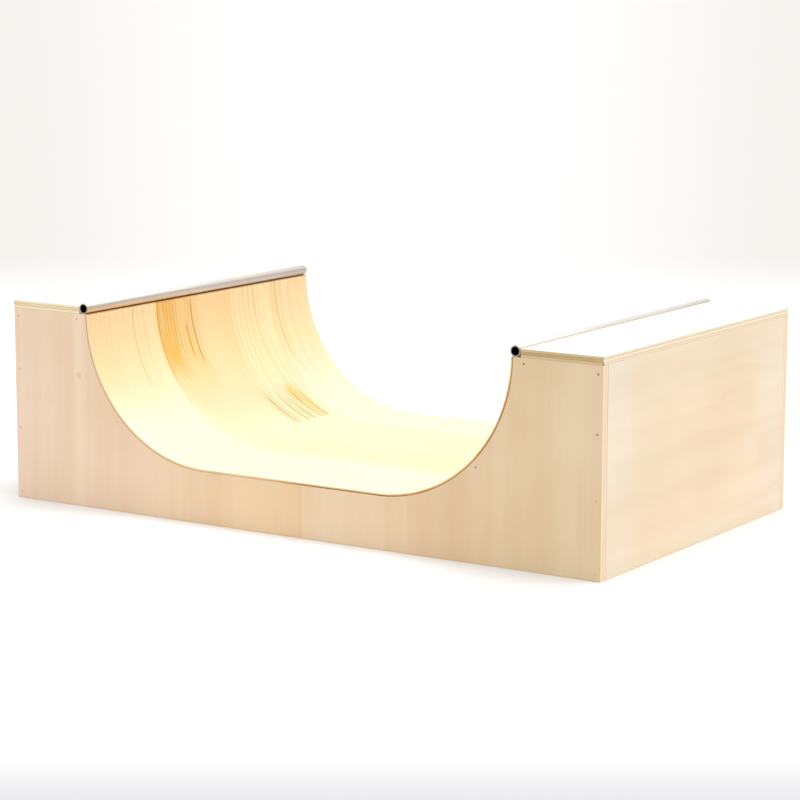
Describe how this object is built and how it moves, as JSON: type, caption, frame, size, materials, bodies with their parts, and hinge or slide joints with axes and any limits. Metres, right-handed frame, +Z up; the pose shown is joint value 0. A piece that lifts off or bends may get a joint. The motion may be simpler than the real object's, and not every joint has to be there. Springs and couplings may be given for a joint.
{
  "type": "fingerboard half-pipe",
  "caption": "Plywood fingerboard half-pipe: a U-shaped riding channel between raised decks, with aluminium tube coping along the lips.",
  "frame": {"origin": "middle of the footprint, on the floor", "axes": "+X along the ride from the left deck to the right deck, +Y across the ramp from the front side panel to the rear one, +Z up"},
  "size_m": [0.5, 0.28, 0.152],
  "materials": {
    "birch_ply": "bare sanded three-ply panel, pale face grain",
    "deck_ply": "bare sanded three-ply panel, very pale face",
    "pine_ply": "flexible plywood, pine face with brown growth rings along the ride",
    "aluminium_tube": "drawn tube, satin",
    "softwood_batten": "planed softwood strip",
    "steel_pin": "dull steel panel pin"
  },
  "bodies": {
    "root": {"front_side_panel": "birch_ply", "rear_side_panel": "birch_ply", "centre_rib": "birch_ply", "left_end_panel": "birch_ply", "right_end_panel": "birch_ply", "left_deck": "deck_ply", "right_deck": "deck_ply", "riding_surface": "pine_ply", "left_coping_tube": "aluminium_tube", "right_coping_tube": "aluminium_tube", "left_coping_batten": "softwood_batten", "right_coping_batten": "softwood_batten", "left_transition_batten": "softwood_batten", "right_transition_batten": "softwood_batten", "front_left_corner_pins": "steel_pin", "front_right_corner_pins": "steel_pin", "rear_left_corner_pins": "steel_pin", "rear_right_corner_pins": "steel_pin", "front_batten_pins": "steel_pin", "rear_batten_pins": "steel_pin"}
  },
  "joints": []
}
